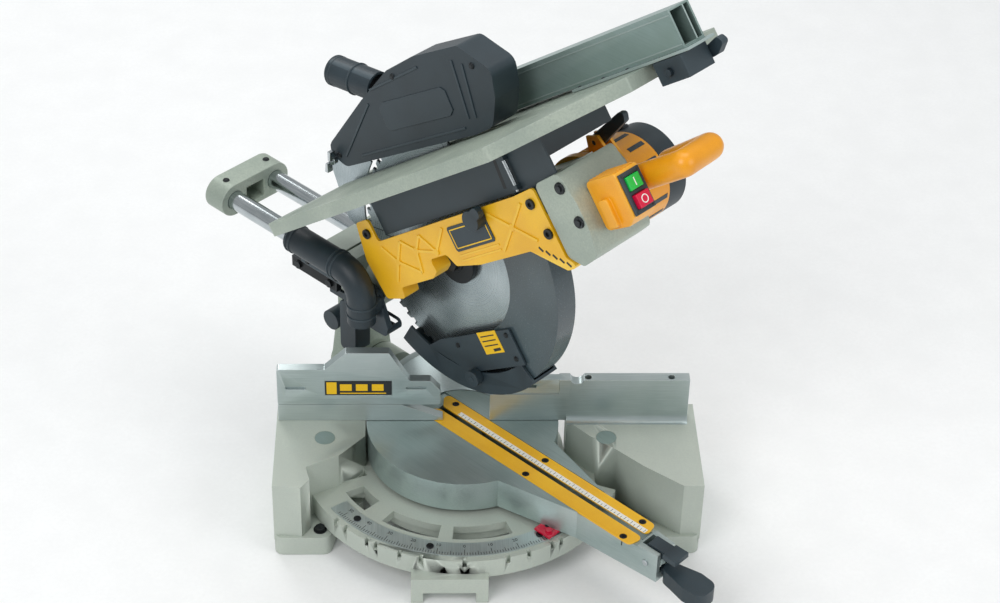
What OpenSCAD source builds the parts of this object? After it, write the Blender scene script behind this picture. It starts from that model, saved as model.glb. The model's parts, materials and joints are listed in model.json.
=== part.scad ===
// Sliding mitre saw with an upper saw table, 305 mm blade.
// World frame: origin on the bench under the turntable axis, X right, Y back, Z up.

/* [Base] */
// Height of the saw table above the bench
table_z = 104; // [90:1:120]
// Left end of the base
base_left = -224; // [-240:1:-210]
// Right end of the base
base_right = 282; // [270:1:300]
// Thickness of the cast walls
wall = 7; // [5:0.5:9]
// Height of the floor ring that carries the mitre scale
ring_z = 57; // [54:1:60]
// Outer radius of the mitre ring
ring_r = 197; // [192:1:202]

/* [Fences] */
// Height of the fixed left fence strip
strip_h = 24; // [20:1:30]
// Height of the right fence
right_fence_h = 62; // [55:1:70]
// Thickness of the fences
fence_t = 12; // [10:1:14]

/* [Turntable] */
// Radius of the turning disc
disc_r = 116; // [112:1:116]
// Mitre angle that the saw stands at
mitre_at_rest = 45; // [45:1:45]
// Reach of the turntable arm in front of the pivot
arm_reach = 322; // [315:1:330]
// Half width of the kerf slot
kerf_half = 5; // [4:0.5:6]

/* [Rails] */
// Radius of a slide rail
rail_r = 12; // [10:0.5:12]
// Half the distance between the rails
rail_x = 33; // [32:1:34]
// Height of the rails above the bench
rail_z = 265; // [265:1:265]

/* [Head] */
// Angle that the head stands raised at
head_raise = 38; // [38:1:38]
// Blade radius
blade_r = 152.5; // [145:0.5:152.5]
// Blade body thickness
blade_t = 2.4; // [2:0.1:3]
// Number of blade teeth
teeth = 60; // [40:4:72]
// Half width of the space between the side cover and the blade
cover_x = 60; // [60:1:62]

/* [Upper table] */
// Height of the upper table above the blade axis
top_b = 127; // [127:1:129]
// Depth of the table's rim
rim_h = 16; // [14:1:16]

/* [Hidden] */
$fn = 72;
eps = 0.5;
blade_centre = [0, 8, 343];
pivot = [133, 229];
turn_top = table_z - 0.6;
cast_grey = "#9DB0A5";
machined = "#B5C6C4";
black = "#1B2E38";
yellow = "#F5C518";
orange = "#F9B21E";
steel = "#C0C6C8";

// ---------- helpers ----------
function unit(v) = v / norm(v);
// An outline moved inwards by t; the outline runs anticlockwise.
function inset(p, t) = [for (i = [0:len(p) - 1])
  let (a = p[(i + len(p) - 1) % len(p)], b = p[i], c = p[(i + 1) % len(p)],
       u = unit(b - a), v = unit(c - b), n = [-u.y, u.x], m = [-v.y, v.x])
  b + t / (1 + n * m) * (n + m)];
// An outline with each corner rounded to radius r, with n steps to a corner.
function rounded(p, r, n = 4) = [for (i = [0:len(p) - 1])
  let (a = p[(i + len(p) - 1) % len(p)], b = p[i], c = p[(i + 1) % len(p)],
       u = unit(a - b), v = unit(c - b), half = acos(max(-1, min(1, u * v))) / 2,
       reach = min(r / tan(half), norm(a - b) * 0.49, norm(c - b) * 0.49),
       real = reach * tan(half), mid = b + unit(u + v) * reach / cos(half),
       s = b + u * reach - mid, e = b + v * reach - mid,
       from = atan2(s.y, s.x), turn = atan2(s.x * e.y - s.y * e.x, s * e))
  for (k = [0:n]) mid + real * [cos(from + turn * k / n), sin(from + turn * k / n)]];
function polar(r, t) = [r * cos(t), r * sin(t)];
function arc(r, from, to, n) = [for (k = [0:n]) polar(r, from + (to - from) * k / n)];

// The turntable's frame: y runs back along the cut.
module turned() { rotate([0, 0, mitre_at_rest]) children(); }
// The head's frame: blade axis at the origin, x along the axis, y back, z up from the blade.
module headed() { turned() translate(blade_centre) rotate([-head_raise, 0, 0]) children(); }
// A slab of an outline drawn in (forward, up), from x0 to x1 in the head's frame.
module head_slab(x0, x1) { translate([x1, 0, 0]) rotate([90, 0, -90]) linear_extrude(x1 - x0) children(); }
// A slab of an outline drawn in (back, up), from x0 to x1 in the turntable's frame.
module side_slab(x0, x1) { translate([x0, 0, 0]) rotate([90, 0, 90]) linear_extrude(x1 - x0) children(); }
// A rod along x in the head's frame at (forward a, up b).
module head_rod(r, x0, x1, a = 0, b = 0) { translate([x0, -a, b]) rotate([0, 90, 0]) cylinder(r = r, h = x1 - x0); }
// A rod along x in the turntable's frame at (back y, up z).
module side_rod(r, x0, x1, y, z) { translate([x0, y, z]) rotate([0, 90, 0]) cylinder(r = r, h = x1 - x0); }
// A rod along y in any frame.
module long_rod(r, y0, y1, x, z) { translate([x, y0, z]) rotate([-90, 0, 0]) cylinder(r = r, h = y1 - y0); }
// A cast shell with an open underside.
module shell(p, t, z0, z1, top) {
  difference() {
    translate([0, 0, z0]) linear_extrude(z1 - z0) polygon(p);
    translate([0, 0, z0 - 1]) linear_extrude(z1 - z0 - top + 1) polygon(inset(p, t));
  }
}
// A ring sector in the plan.
module sector(r0, r1, from, to, n = 24) { polygon(concat(arc(r1, from, to, n), arc(r0, to, from, n))); }
// A pan-head screw with a cross or hex recess.
module screw(r, h, shank, depth) {
  difference() {
    union() { cylinder(r = r, h = h); translate([0, 0, -depth]) cylinder(r = shank, h = depth + 0.1); }
    translate([0, 0, h * 0.4]) cylinder(r = r * 0.45, h = h, $fn = 6);
  }
}

// ---------- base ----------
left_outline = [[base_left, 30], [base_left, -119], [-191, -122], [-181, -107], [-186, -85],
  [-148, -65], [-117, -29], [-117, 30]];
right_outline = [[126, 30], [126, -1], [153, -30], [183, -55], [214, -85], [258, -120],
  [base_right, -120], [base_right, 30]];
left_foot = [[base_left, 62], [base_left, -124], [-158, -124], [-150, -90], [-120, -60], [-120, 62]];
right_foot = [[130, 62], [130, -60], [170, -90], [205, -124], [base_right, -124], [base_right, 62]];
bench_x = [-170, 212];
bench_y = [-110, 45];
scale_screw_angles = [-135, -103, -60];
detents = [-50, -45, -35.3, -31.62, -22.5, -15, 0, 15, 22.5, 31.62, 35.3, 45, 50];
ring_from = -158;
ring_to = -22;

module base_ring() {
  difference() {
    union() {
      translate([0, 0, ring_z - 10]) linear_extrude(10) sector(20, ring_r, ring_from, ring_to, 40);
      translate([0, 0, ring_z - 26]) linear_extrude(26) sector(ring_r - 7, ring_r, ring_from, ring_to, 40);
      translate([0, 0, ring_z - 26]) linear_extrude(17) sector(126, 132, ring_from, ring_to, 32);
      translate([0, 0, ring_z - 20]) cylinder(r = 124, h = 20);
      cylinder(r = 24, h = ring_z - 10);
    }
    translate([0, 0, ring_z - 27]) cylinder(r = 10.06, h = 40);
    translate([0, 0, ring_z - 21]) difference() { cylinder(r = 116, h = 12); translate([0, 0, -1]) cylinder(r = 24, h = 14); }
    for (t = [-114, -82]) translate([0, 0, ring_z - 30]) linear_extrude(40) sector(138, 160, t - 13, t + 13, 8);
    for (t = [-144, -46]) translate([0, 0, ring_z - 30]) linear_extrude(40) sector(136, 160, t - 7, t + 7, 6);
    for (t = detents) rotate([0, 0, t - 90]) translate([ring_r - 5, -2.5, ring_z - 9]) cube([8, 5, 12]);
  }
}
module base_casting() color(cast_grey) difference() {
  union() {
    shell(left_outline, wall, 20, table_z, 9);
    shell(right_outline, wall, 20, table_z, 9);
    shell(rounded(left_foot, 10, 3), wall, 0, 27, 10);
    shell(rounded(right_foot, 10, 3), wall, 0, 27, 10);
    base_ring();
    // front foot
    difference() {
      translate([-62, -206, 0]) cube([90, 24, ring_z - 20]);
      translate([-48, -210, -1]) cube([62, 32, 16]);
    }
    // webs that tie the ring to the tables
    for (s = [[-160, -100], [96, 100]]) translate([s.x, -60, ring_z - 24]) cube([64, 70, 16]);
    for (s = [[-200, -112], [226, -88]]) translate([s.x, s.y, 20]) cube([6, 18 - s.y, table_z - 22]);
    // bosses of the bench bolts
    for (x = bench_x, y = bench_y) translate([x, y, 0]) cylinder(r = 11, h = 18);
    // lugs for the clamp of the sliding fence
    translate([-219, 12.5, table_z - 1]) cube([26, 16, 17]);
  }
  for (x = bench_x, y = bench_y) translate([x, y, -1]) cylinder(r = 4.5, h = 40);
  translate([-206, 10, table_z + 9]) rotate([-90, 0, 0]) cylinder(r = 4.06, h = 30);
  // shallow round pads for the table inserts
  for (x = [-165, 172]) translate([x, -32, table_z - 0.6]) cylinder(r = 12.5, h = 2);
  for (t = scale_screw_angles) translate([177 * cos(t), 177 * sin(t), ring_z - 8]) cylinder(r = 2.06, h = 12);
  for (x = [-212, -172]) translate([x, 6, table_z - 12]) cylinder(r = 2.06, h = 14);
  for (x = [150, 250]) translate([x, 6, table_z - 12]) cylinder(r = 2.06, h = 14);
}
module mitre_scale() color(steel) translate([0, 0, ring_z]) difference() {
  linear_extrude(1.2) sector(167, 189, -146, -34, 40);
  for (t = scale_screw_angles) translate([177 * cos(t), 177 * sin(t), -1]) cylinder(r = 2.2, h = 4);
}
module base_screws() color("#20282C") {
  for (t = scale_screw_angles) translate([177 * cos(t), 177 * sin(t), ring_z + 1.2]) screw(4.5, 1.4, 2, 7);
  for (x = [-212, -172]) translate([x, 6, table_z + strip_h - 8]) screw(3.6, 3, 2, 26);
  for (x = [150, 250]) translate([x, 6, table_z + 12]) screw(3.6, 3, 2, 22);
}
strip_top = table_z + strip_h;
module fixed_fence_left() color(machined) difference() {
  translate([0, fence_t, 0]) rotate([90, 0, 0]) linear_extrude(fence_t)
    polygon([[base_left + 2, table_z], [-24, table_z], [-24, table_z + 4], [-74, strip_top], [base_left + 2, strip_top]]);
  for (x = [-212, -172]) translate([x, 6, table_z - 1]) {
    cylinder(r = 2.06, h = 40);
    translate([0, 0, strip_h - 7]) cylinder(r = 4, h = 20);
  }
}
module fixed_fence_right() color(machined) difference() {
  union() {
    // bow that joins the fence's two sides behind the saw disc
    difference() {
      rotate_extrude($fn = 96) polygon([[58, 104], [66, 104], [97, 148], [88, 148]]);
      translate([-120, -120, 90]) cube([240, 132.3, 80]);
    }
    translate([48, fence_t - 1, table_z]) cube([26, 12, 30]);
    translate([32.5, 0, table_z]) cube([83.5, fence_t, 40]);
    translate([32.5, 1.5, table_z + 39]) cube([83.5, fence_t - 1.5, right_fence_h - 39]);
    translate([115.5, 0, table_z]) cube([base_right - 125.5, fence_t + 2, right_fence_h]);
    // sweep that blends the fence into the table
    difference() {
      translate([125, -9, table_z]) cube([base_right - 135, 10, 9]);
      translate([124, -9, table_z + 9]) rotate([0, 90, 0]) cylinder(r = 9, h = base_right - 133);
    }
  }
  translate([137, -5, table_z + right_fence_h + 3]) rotate([-90, 0, 0]) cylinder(r = 9, h = 30);
  translate([66, -1, table_z + 49]) cube([22, 8, 4]);

  for (x = [150, 250]) translate([x, 6, table_z - 1]) {
    cylinder(r = 2.06, h = 60);
    translate([0, 0, 13]) cylinder(r = 4, h = 80);
  }
}
module sliding_fence() color(machined) difference() {
  translate([0, fence_t, 0]) rotate([90, 0, 0]) linear_extrude(fence_t) polygon(rounded([
    [base_left + 2, strip_top + 0.4], [-27, strip_top + 0.4], [-27, 150], [-39, 165], [-64, 165], [-88, 207],
    [-140, 207], [-165, 182], [base_left + 2, 182]], 3, 3));
  for (x = [-210, -66]) translate([x, -1, 154]) rotate([-90, 0, 0]) {
    for (s = [0, 20]) translate([s, 0, 0]) cylinder(r = 2.2, h = 4);
    translate([0, -2.2, 0]) cube([20, 4.4, 4]);
  }
  translate([-165, -1, 143]) cube([80, 1.8, 22]);
}
module fence_clamp_knob() color(black) translate([-206, 0, table_z + 9]) {
  long_rod(4, 13, 40, 0, 0);
  long_rod(10, 30, 42, 0, 0);
  translate([-3, 31, 0]) cube([6, 10, 24]);
}

// ---------- turntable (turned frame) ----------
arm_half_root = 50;
arm_half_mid = 24;
arm_half_tip = 15;
module turntable_plan(t = 0) {
  circle(r = disc_r - t, $fn = 120);
  polygon([[-arm_half_root + t, -100], [-arm_half_mid + t, -208], [-arm_half_tip + t, -arm_reach + t],
    [arm_half_tip - t, -arm_reach + t], [arm_half_mid - t, -208], [arm_half_root - t, -100]]);
}
module turntable_body() {
  difference() {
    translate([0, 0, ring_z + 6]) linear_extrude(turn_top - ring_z - 6) turntable_plan();
    translate([0, 0, ring_z]) linear_extrude(turn_top - ring_z - 9) difference() {
      turntable_plan(6);
      circle(r = 24);
      for (s = [-1, 1]) translate([s * 22 - 2.5, -300]) square([5, 380]);
    }
  }
  translate([0, 0, ring_z + 0.3]) cylinder(r = 24, h = 20);
  translate([-44, 96, ring_z + 6]) cube([88, 20, 24]);
}
module turntable() color(machined) turned() difference() {
  turntable_body();
  // kerf slot and the shallow seat of the kerf plates
  translate([-kerf_half, -291, 82]) cube([kerf_half + 12.5, 330, 40]);
  translate([-24, -294, turn_top - 2]) cube([48, 350, 4]);
  // bolt and pin holes
  translate([0, 0, ring_z - 1]) cylinder(r = 10.06, h = 25);
  side_rod(4.06, -60, 60, -306, 84);
  translate([-9.5, -arm_reach - 1, 74]) cube([19, 28, 40]);
  long_rod(6.06, -330, -300, 0, 72);
  for (s = [-1, 1], y = [-272, -120, 28]) translate([s * 17, y, 90]) cylinder(r = 2.06, h = 14);
  // clearance in front of the bevel trunnion
  translate([-46, 96, ring_z + 24]) cube([92, 30, 60]);
}
module turntable_bolt() color(steel) turned() {
  difference() {
    translate([0, 0, ring_z - 26]) cylinder(r = 10, h = 46);
    translate([0, 0, ring_z + 12]) cylinder(r = 5, h = 10, $fn = 6);
  }
}
module kerf_plates() color(yellow) turned() difference() {
  for (s = [-1, 1]) translate([0, 0, turn_top - 1.9]) linear_extrude(1.9)
    polygon(rounded([[s * 3.2, -291], [s * 23.4, -286], [s * 23.4, 54], [s * 3.2, 36]], 6, 4));
  for (s = [-1, 1], y = [-272, -120, 28]) translate([s * 17, y, 90]) cylinder(r = 4.5, h = 20);
}
module kerf_screws() color("#20282C") turned()
  for (s = [-1, 1], y = [-272, -120, 28]) translate([s * 17, y, turn_top - 1.9]) screw(4.2, 1.6, 2, 8);
module mitre_pointer() color("#C8102E") turned() {
  translate([-46, -186, ring_z + 3]) cube([20, 24, 3]);
  translate([-38, -178, ring_z + 6]) cylinder(r = 4, h = 3);
}
module lever_pin() color(steel) turned() side_rod(4, -17.5, 17.5, -306, 84);
module mitre_latch() color(black) turned() {
  difference() {
    union() {
      translate([-8.5, -327, turn_top - 8]) cube([17, 25, 11]);
      translate([-12, -345, turn_top - 4]) cube([24, 18.6, 7]);
      side_rod(8.5, -8.5, 8.5, -306, 84);
      translate([-8.5, -314, 84]) cube([17, 14, 18]);
    }
    side_rod(4.06, -20, 20, -306, 84);
  }
}
lever_outline = rounded([[-9, -323.4], [9, -323.4], [12, -340], [17, -362], [15, -388], [-15, -388],
  [-17, -362], [-12, -340]], 12, 5);
module mitre_lock_lever() color(black) turned() {
  translate([0, 0, 62]) linear_extrude(20) polygon(lever_outline);
  long_rod(6, -324, -318, 0, 72);
}

// ---------- bevel arm (turned frame) ----------
axis_z = table_z;
module bevel_trunnion() color(cast_grey) turned() difference() {
  union() {
    translate([-43, 98, ring_z + 24.5]) cube([86, 46, 8.5]);
    long_rod(34, 118, 148, 0, axis_z);
    translate([-43, 118, ring_z + 10]) cube([86, 30, 24]);
  }
  long_rod(11.06, 90, 160, 0, axis_z);
}
module bevel_pivot_shaft() color(steel) turned() {
  long_rod(11, 113, 198, 0, axis_z);
  long_rod(13, 108, 114, 0, axis_z);
}
arm_side = [[150, 92], [196, 84], [196, 120], [184, 200], [184, 244], [172, 244], [166, 200], [156, 130]];
module bevel_arm() color(cast_grey) turned() difference() {
  union() {
    long_rod(34, 150, 196, 0, axis_z);
    side_slab(-30, 30) polygon(arm_side);
    // bearing housing for the two rails
    translate([-55, 172, rail_z - 22]) cube([110, 32, 40]);
    for (s = [-1, 1]) long_rod(17, 172, 206, s * rail_x, rail_z);
  }
  long_rod(11.02, 140, 200, 0, axis_z);
  for (s = [-1, 1]) long_rod(15, 160, 215, s * rail_x, rail_z);
  side_rod(5.06, -50, 0, 174, 190);
}
module linear_bearings() color("#B08D57") turned() difference() {
  for (s = [-1, 1]) long_rod(15, 172, 206, s * rail_x, rail_z);
  for (s = [-1, 1]) long_rod(rail_r + 0.05, 160, 215, s * rail_x, rail_z);
}
module bevel_clamp_knob() color(black) turned() {
  side_rod(5, -40, -6, 174, 190);
  side_rod(13, -52, -31, 174, 190);
}
module bearing_side_bar() color(black) turned() {
  translate([-63, 150, rail_z - 14]) cube([8, 78, 15]);
  for (y = [162, 216]) side_rod(5, -66, -63, y, rail_z - 6.5);
}
chute_low = rounded([[147, 242.5], [66, 242.5], [66, 228], [120, 226], [121, 171], [147, 170]], 6, 3);
chute_high = rounded([[140, 252], [122, 292], [84, 286], [64, 240], [70, 232], [140, 232]], 6, 3);
module dust_chute() color(black) turned() difference() {
  union() {
    side_slab(-61.5, -37) polygon(chute_low);
    side_slab(-61.5, -53.5) polygon(chute_high);
    translate([-54, 138, 236]) cube([14, 34, 10]);
  }
  side_slab(-58.5, -30) polygon(inset(chute_low, 3));
  side_slab(-58.5, -40) polygon(inset(chute_high, 3));
  side_rod(15, -65, -57, 90, 268);
}
duct_x = -79.5;
duct_z = 313;
duct_bend = 32;
duct_y = 122;
// The duct's solid or its hollow, by its radius.
module duct_path(r, past) {
  long_rod(r, duct_y, 205 + past, duct_x, duct_z);
  translate([duct_x, duct_y, duct_z - duct_bend]) rotate([90, 0, 90])
    rotate([0, 0, 90]) rotate_extrude(angle = 90) translate([duct_bend, 0]) circle(r = r);
  translate([duct_x, duct_y - duct_bend, 262]) cylinder(r = r, h = duct_z - duct_bend - 262);
}
module dust_duct() color(black) turned() difference() {
  union() {
    duct_path(17, 0);
    translate([duct_x, duct_y - duct_bend, 250]) cylinder(r = 17, h = 14);
    side_rod(14.9, duct_x, -58.6, duct_y - duct_bend, 268);
  }
  duct_path(14, 1);
  translate([duct_x, duct_y - duct_bend, 253]) cylinder(r = 14, h = 14);
  side_rod(12, duct_x, -50, duct_y - duct_bend, 268);
}

// ---------- carriage (turned frame) ----------
module slide_rails() color(steel) turned()
  for (s = [-1, 1]) long_rod(rail_r, 150.5, 388, s * rail_x, rail_z);
module rail_end_cap() color(cast_grey) turned() difference() {
  union() {
    for (s = [-1, 1]) long_rod(22, 364, 396, s * rail_x, rail_z);
    translate([-rail_x, 364, rail_z - 22]) cube([2 * rail_x, 32, 44]);
  }
  for (s = [-1, 1]) long_rod(rail_r, 360, 388, s * rail_x, rail_z);
  translate([-14, 363, rail_z - 15]) cube([28, 26, 24]);
}
module carriage() color(cast_grey) turned() difference() {
  union() {
    translate([-51, 150.5, rail_z - 18]) cube([102, 18, 36]);
    side_slab(-24, 11) polygon([[130, 215], [143, 218], [168, 247], [168, 262], [151, 262], [139, 243]]);
    side_rod(14, -24, 11, pivot.x, pivot.y);
  }
  for (s = [-1, 1]) long_rod(rail_r, 140, 180, s * rail_x, rail_z);
  side_rod(9.06, -40, 40, pivot.x, pivot.y);
}
module head_pivot_pin() color(steel) turned() side_rod(9, -35, 52, pivot.x, pivot.y);
spring_x = [for (k = [0:3]) 13.4 + k * 3.1];
module lift_spring() color("#30383C") turned() for (x = spring_x) translate([x, pivot.x, pivot.y])
  rotate([0, 90, 0]) rotate_extrude($fn = 48) translate([12, 0]) circle(r = 1.5, $fn = 16);

// ---------- head (headed frame) ----------
pivot_a = -168.7;
pivot_b = -12.9;
cover_outline = rounded([[-82, -10], [-48, -16], [-46, -2], [19, -2], [31, 4], [29, 20], [61, 20],
  [70, 4], [112, -2], [202, -3], [246, -34], [266, -34], [252, -20], [251, 62], [215, 59],
  [-48, 57], [-48, 86], [-72, 86], [-86, 40]], 4.5, 2);
right_plate = [[-184, -22], [-170, -32], [-140, -26], [-50, -42], [220, -42], [250, -36],
  [264, -12], [266, 40], [258, 57], [-120, 57], [-132, 76], [-156, 76], [-158, 62], [-140, 40],
  [-140, 18], [-182, 0]];
shield = [[254, -21], [271, -35], [297, -29], [304, 0], [304, 31], [297, 68], [254, 64]];
// The channel through the front shield, open at the top for the table skirt.
channel = [[261, -14], [271, -27], [292, -22], [297, 0], [297, 30], [290, 90], [261, 90]];
motor_a = 176;
motor_b = 6;
module head_casting() color(cast_grey) headed() difference() {
  union() {
    head_slab(27, 36) polygon(rounded(right_plate, 6, 3));
    head_slab(-34, -28) polygon([[-182, -14], [-172, -26], [-150, -24], [-80, 4], [60, 22], [258, 4], [262, 40],
      [-100, 44], [-160, 10]]);
    head_slab(-58, 27) polygon(rounded(shield, 8, 3));
    head_rod(17, 27, 53, pivot_a, pivot_b);
    head_rod(17, -34, -26, pivot_a, pivot_b);
    head_rod(34, 36, 40, 0, 0);
    // rim of the belt case
    difference() {
      head_slab(36, 60) polygon(rounded(right_plate, 6, 3));
      head_slab(35, 61) polygon(inset(rounded(right_plate, 6, 3), 4.5));
    }
    // bracket of the riving knife
    translate([1.2, 142, 60]) cube([28, 13, 13]);
  }
  head_rod(9.06, -60, 70, pivot_a, pivot_b);
  head_rod(14, 26, 60, 0, 0);
  head_rod(20, 37, 60, motor_a, motor_b);
  head_slab(-50, 28) polygon(channel);
  // slot for the table skirt's left wall
  translate([-51, -263, 33]) cube([6, 11, 60]);
}
cover_posts = [[225, 22], [-60, 22]];
module side_cover() color(yellow) headed() difference() {
  union() {
  head_slab(-cover_x, -57) polygon(cover_outline);
  for (p = cover_posts) head_rod(6, -57.5, -34, p.x, p.y);
  // rim that stands in from the edge, left off along the top
  difference() {
    head_slab(-57.5, -37) polygon(cover_outline);
    head_slab(-58, -36) polygon(inset(cover_outline, 3));
    translate([-58, -300, 30]) cube([30, 400, 60]);
  }
  }
  head_rod(4.06, -70, -50, 146, 50);
}
module cover_screws() color("#20282C") headed()
  for (p = [[238, 46], [244, 10], [-60, 70]]) translate([-cover_x, -p.x, p.y]) rotate([0, -90, 0]) screw(6, 3, 2.5, 0);
lever_at = [206, 64];
module motor_housing() color(yellow) headed() difference() {
  union() {
    head_rod(52, 62, 140, motor_a, motor_b);
    head_rod(56, 60, 70, motor_a, motor_b);
    head_slab(60, 62.5) polygon(rounded(right_plate, 6, 3));
    head_slab(80, 97) polygon([[188, 44], [226, 30], [216, 70], [199, 74]]);
  }
  head_rod(48, 63, 150, motor_a, motor_b);
  head_rod(20, 50, 70, motor_a, motor_b);
  head_rod(9.06, 50, 70, pivot_a, pivot_b);
  head_slab(84, 93) polygon([[180, 54], [240, 50], [240, 90], [180, 90]]);
  head_rod(3.06, 70, 110, lever_at.x, lever_at.y);
}
module motor_end_cap() color(black) headed() difference() {
  union() { head_rod(52, 140.2, 168, motor_a, motor_b); head_rod(47.5, 132, 141, motor_a, motor_b); }
  head_rod(44, 120, 164, motor_a, motor_b);
  for (k = [0:11]) translate([150, -motor_a, motor_b]) rotate([k * 30, 0, 0]) translate([0, -2, 20]) cube([30, 4, 20]);
}
module cord_gland() color(black) headed() {
  head_rod(8, 168, 186, motor_a - 20, motor_b - 18);
  head_rod(11, 168, 173, motor_a - 20, motor_b - 18);
}
module motor_rotor() color(steel) headed() {
  head_rod(6, 38, 162, motor_a, motor_b);
  head_rod(30, 80, 124, motor_a, motor_b);
  head_rod(17, 41, 53, motor_a, motor_b);
}
spindle_pulley_r = 32;
motor_pulley_r = 17;
belt_tilt = asin((spindle_pulley_r - motor_pulley_r) / norm([motor_a, motor_b]));
belt_dir = atan2(motor_b, motor_a);
function belt_loop(t) = concat(
  [for (k = [0:20]) polar(spindle_pulley_r + t, belt_dir + 90 - belt_tilt + (180 + 2 * belt_tilt) * k / 20)],
  [for (k = [0:12]) [motor_a, motor_b] + polar(motor_pulley_r + t, belt_dir - 90 + belt_tilt + (180 - 2 * belt_tilt) * k / 12)]);
module drive_belt() color("#151B1E") headed() difference() {
  head_slab(42, 52) polygon(belt_loop(3.2));
  head_slab(41, 53) polygon(belt_loop(0.6));
}
module spindle() color(steel) headed() {
  head_rod(15, -1, 1, 0, 0);
  head_rod(12, -9, 56, 0, 0);
}
module spindle_pulley() color("#8E979A") headed() difference() {
  head_rod(spindle_pulley_r, 41, 53, 0, 0);
  head_rod(12, 30, 60, 0, 0);
}
module spindle_bearings() color("#A9B0B2") headed() {
  difference() { head_rod(14, 27, 39.5, 0, 0); head_rod(12.05, 20, 60, 0, 0); }
  for (x = [[63, 71], [157, 164]]) difference() {
    head_rod(19.9, x[0], x[1], motor_a, motor_b);
    head_rod(6.05, 60, 170, motor_a, motor_b);
  }
}
module blade_flanges() color("#2A363B") headed() {
  difference() { head_rod(29, -9, -1.2, 0, 0); head_rod(12, -20, 10, 0, 0); }
  difference() { head_rod(29, 1.2, 9, 0, 0); head_rod(12, -20, 30, 0, 0); }
}
module arbor_bolt() color("#20282C") headed() {
  translate([-17, 0, 0]) rotate([0, 90, 0]) cylinder(r = 10, h = 6.5, $fn = 6);
  head_rod(13, -10.8, -9, 0, 0);
}
gullet = 6;
blade_outline = [for (k = [0:teeth - 1], s = [[0, 0], [0.42, -1.2], [0.6, -gullet], [0.92, -gullet * 0.8]])
  polar(blade_r + s.y, (k + s.x) * 360 / teeth)];
module saw_blade() color("#BFC9CC") headed() difference() {
  head_slab(-blade_t / 2, blade_t / 2) polygon(blade_outline);
  head_rod(15, -5, 5, 0, 0);
}
// A guard shell about the blade axis between two angles.
module guard_shell(r0, r1, x0, x1, from, to, hub, left_r, t) {
  head_slab(x0, x1) sector(r0, r1, from, to, 30);
  head_slab(x1 - t, x1) sector(hub, r0 + 0.5, from, to, 30);
  head_slab(x0, x0 + t) sector(left_r, r0 + 0.5, from, to, 30);
}
module lower_guard() color("#4A6166") headed() {
  guard_shell(159.5, 163, -12.5, 17, -80, 4, 40, 90, 3);
  difference() { head_rod(44, 14, 17, 0, 0); head_rod(24, 10, 30, 0, 0); }
}
roller_at = [-47, -137];
module rear_guard() color(black) headed() {
  guard_shell(164.5, 168, -17, 22, -155, -74, 40, 140, 3);
  difference() { head_rod(44, 19, 22, 0, 0); head_rod(24, 15, 30, 0, 0); }
  head_slab(-17, -14) polygon([[-84, -84], [46, -92], [46, -138], [-57, -132], [-112, -88]]);
  head_rod(3, -28, -16, roller_at.x, roller_at.y);
}
module guard_roller() color(black) headed() difference() {
  head_rod(10, -27.5, -17.5, roller_at.x, roller_at.y);
  head_rod(3.06, -30, -10, roller_at.x, roller_at.y);
}
module switch_box() color(orange) headed() difference() {
  union() {
  head_slab(-37, -2) polygon(rounded([[304, -10], [340, -12], [352, -4], [352, 46], [304, 46]], 6, 4));
  head_slab(-43, -36) polygon(rounded([[316, -8], [330, -8], [330, 24], [316, 24]], 4, 3));
  }
  // pockets that the buttons sink into
  for (z = [1, 21]) translate([-30, -355, z]) cube([20, 6.5, 16]);
}
module switch_plate() color("#161C20") headed() difference() {
  translate([-35, -355, -4]) cube([30, 2.8, 46]);
  translate([-30, -356, 21]) cube([20, 5, 16]);
  translate([-30, -356, 1]) cube([20, 5, 16]);
}
module start_button() color("#1FD655") headed() translate([-29.6, -357.5, 21.4]) cube([19.2, 5.2, 15.2]);
module stop_button() color("#D6083B") headed() translate([-29.6, -360.5, 1.4]) cube([19.2, 8.2, 15.2]);
handle_path = [[14.5, 322, 24], [14.5, 398, 25], [62, 392, 25], [68, 320, 20]];
module main_handle() color(orange) headed() for (k = [0:2]) hull() for (p = [handle_path[k], handle_path[k + 1]])
  translate([p.x, -p.y, p.z]) sphere(r = 15, $fn = 24);
module release_lever() color(black) headed() {
  head_rod(3, 80.5, 96.5, lever_at.x, lever_at.y);
  head_slab(84.5, 92.5) polygon(rounded([[200, 58], [213, 58], [262, 74], [266, 84], [258, 86], [200, 71]], 3, 2));
}
module table_height_knob() color(black) headed() {
  head_rod(4, -61, -52, 146, 50);
  head_rod(12, -74, -60.4, 146, 50);
  head_slab(-74, -66) polygon(rounded([[142, 42], [166, 52], [164, 64], [140, 58]], 5, 4));
}

// ---------- upper table (headed frame) ----------
table_plan = [[-122, -284], [18, -369], [165, -369], [165, 100], [-122, 151]];
module upper_table() color(cast_grey) headed() difference() {
  union() {
    translate([0, 0, top_b - rim_h]) difference() {
      linear_extrude(rim_h) polygon(rounded(table_plan, 8, 4));
      translate([0, 0, -1]) linear_extrude(rim_h - 5) polygon(inset(rounded(table_plan, 8, 4), 6));
    }
    // stiffening ribs
    for (a = [-60, 80, 220]) translate([-118, -a - 3, top_b - 14]) cube([276, 6, 10]);
  }
  // blade slot
  translate([-9, -200, top_b - 30]) cube([18, 390, 60]);
  // shallow grooves of the table top
  for (k = [0:17]) translate([-116 + k * 5.6, -268, top_b - 0.6]) cube([2, 390, 2]);
  for (k = [0:23]) translate([16 + k * 6, -360, top_b - 0.6]) cube([2, 444, 2]);
}
skirt_top = top_b - 14;
module table_skirt() color(black) headed() difference() {
  union() {
    head_slab(-49.5, -46.5) polygon([[-43, 60], [284, 60], [284, skirt_top], [-43, skirt_top]]);
    for (y = [-284, 40]) translate([-47, y, 86]) cube([97, 3, skirt_top - 86]);
    translate([48, -284, 86]) cube([3, 327, skirt_top - 86]);
  }
  translate([-9, 30, 60]) cube([18, 30, 80]);
}
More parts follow.
